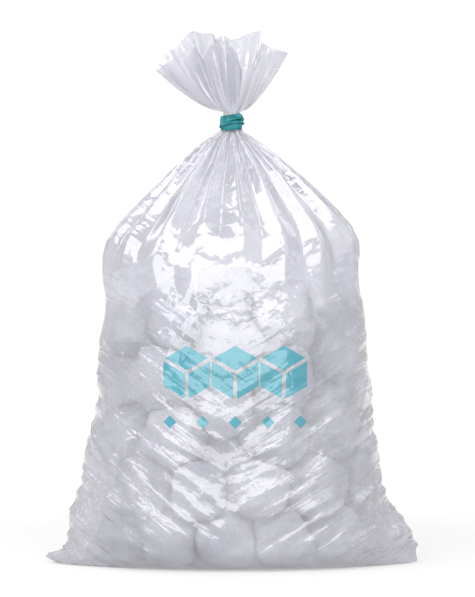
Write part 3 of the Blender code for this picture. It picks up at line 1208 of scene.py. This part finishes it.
def rubber_material():
    """Dyed latex, extruded and cut: soft sheen, fine grain, and patches of painted shade in darker teal."""
    material, tree, output = new_material("latex rubber, dyed teal")
    place = add_node(tree, "ShaderNodeTexCoord").outputs["Object"]
    patch_place = add_node(
        tree,
        "ShaderNodeMapping",
        {"Scale": (1.0, 1.0, 2.2)},
        {"Vector": place},
    )
    # This noise lays the patches of painted shade, and also the grain of the bump
    stretch = add_node(
        tree,
        "ShaderNodeTexNoise",
        {"Scale": 1000 / SHADE_PATCH, "Detail": 3.0},
        {"Vector": patch_place.outputs[0]},
    )
    # The band's own teal with painted shade: the darker stops stand for the shade of its folds
    teal_and_painted_shade = add_node(tree, "ShaderNodeValToRGB", links={"Fac": stretch.outputs["Fac"]})
    ramp = teal_and_painted_shade.color_ramp.elements
    ramp[0].position, ramp[0].color = 0.33, colour("0C5256")
    ramp[1].position, ramp[1].color = 0.66, colour("2E8A94")
    middle = ramp.new(0.5)
    middle.color = colour("1A6E74")
    grain = add_node(
        tree, "ShaderNodeBump", {"Strength": 0.4, "Distance": 0.15 * MM}, {"Height": stretch.outputs["Fac"]}
    )
    shader = add_node(
        tree,
        "ShaderNodeBsdfPrincipled",
        {"Roughness": 0.5, "IOR": 1.52, "Specular IOR Level": 0.25},
        {"Base Color": teal_and_painted_shade.outputs["Color"], "Normal": grain.outputs[0]},
    )
    tree.links.new(shader.outputs["BSDF"], output.inputs["Surface"])
    return material


band.data.materials.clear()
band.data.materials.append(rubber_material())
print("rubber material ready")

# %% [markdown]
# ## The studio
# The bag stands on white paper in front of a lit white wall, as for a catalogue. Clear things take
# their look from what they mirror. One wide, weak softbox behind the camera lights the body evenly.
# A key and a fill high on both sides, and strips over the bag, flash white in the folds of the cone.
# The paper glows a little, because a real studio lights it apart from the bag, and less near the
# bag, where the film would mirror it.

# %% Studio
FLOOR_GLOW = (0.48, 0.86)
GLOW_REACH = (0.3, 1.2)
WALL_GLOW = 1.02
ROOM_LIGHT = 0.7
BAG_MIDDLE = (0, 0, 0.15)

bpy.ops.mesh.primitive_plane_add(size=10, location=(0, 0, -0.4 * MM))
floor = bpy.context.object
floor.name = "studio_floor"
material, tree, output = new_material("white paper, matt")
place = add_node(tree, "ShaderNodeTexCoord").outputs["Object"]
away = add_node(tree, "ShaderNodeVectorMath", {"operation": "LENGTH"}, {0: place})
glow = add_node(
    tree,
    "ShaderNodeMapRange",
    {"From Min": GLOW_REACH[0], "From Max": GLOW_REACH[1], "To Min": FLOOR_GLOW[0], "To Max": FLOOR_GLOW[1]},
    {"Value": away.outputs["Value"]},
)
paper = add_node(
    tree,
    "ShaderNodeBsdfPrincipled",
    {
        "Base Color": colour("A0A0A0"),
        "Roughness": 0.9,
        "Specular IOR Level": 0.0,
        "Emission Color": (1, 1, 1, 1),
    },
    {"Emission Strength": glow.outputs[0]},
)
tree.links.new(paper.outputs["BSDF"], output.inputs["Surface"])
floor.data.materials.append(material)

bpy.ops.mesh.primitive_plane_add(size=3, location=(0, 4, 1.0), rotation=(math.pi / 2, 0, 0))
wall = bpy.context.object
wall.name = "studio_wall"
material, tree, output = new_material("wall paint, lit white")
lit = add_node(tree, "ShaderNodeEmission", {"Color": (1, 1, 1, 1), "Strength": WALL_GLOW})
tree.links.new(lit.outputs["Emission"], output.inputs["Surface"])
wall.data.materials.append(material)

world = bpy.data.worlds.new("studio")
world.use_nodes = True
world.node_tree.nodes["Background"].inputs["Color"].default_value = (1, 1, 1, 1)
world.node_tree.nodes["Background"].inputs["Strength"].default_value = ROOM_LIGHT
bpy.context.scene.world = world


def softbox(name, place, target, size, power):
    """A rectangular lamp that faces its target."""
    bpy.ops.object.light_add(type="AREA", location=place)
    light = bpy.context.object
    light.name = name
    light.data.shape = "RECTANGLE"
    light.data.size, light.data.size_y = size
    light.data.energy = power
    light.rotation_euler = (Vector(target) - Vector(place)).to_track_quat("-Z", "Y").to_euler()


# %% Softboxes
# Name, place and size in metres, power in watts
SOFTBOXES = [
    ("front", (0.0, -2.3, 0.5), (3.0, 1.3), 39),
    ("key", (-1.4, -1.2, 1.5), (1.6, 1.2), 20),
    ("fill", (1.5, -1.1, 1.3), (1.8, 1.6), 7),
    ("strip_front", (0.0, -1.2, 1.35), (1.3, 0.6), 9.5),
    ("strip_left", (-0.85, 0.45, 1.25), (0.4, 1.2), 3),
    ("strip_top", (0.05, -0.15, 1.6), (0.4, 1.2), 5),
    ("strip_right", (0.95, 0.4, 1.15), (0.4, 1.2), 2),
]
for name, place, size, power in SOFTBOXES:
    softbox(name, place, BAG_MIDDLE, size, power)

scene = bpy.context.scene
scene.view_settings.view_transform = "Standard"
scene.cycles.max_bounces = 24
scene.cycles.transmission_bounces = 24
scene.cycles.transparent_max_bounces = 16
print("studio ready")

# %% [markdown]
# ## Hand over
# Each piece is hung from the body that carries it, and the solid it stands for is hidden.

# %% Hand over
for piece, node, slot in [(film, "bag", "film"), (band, "tie", "rubber")] + [
    (cube, cube.name.replace("melted_cube", "ice_cube"), "ice") for cube in cubes
]:
    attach(piece, "root")
    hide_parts(node)
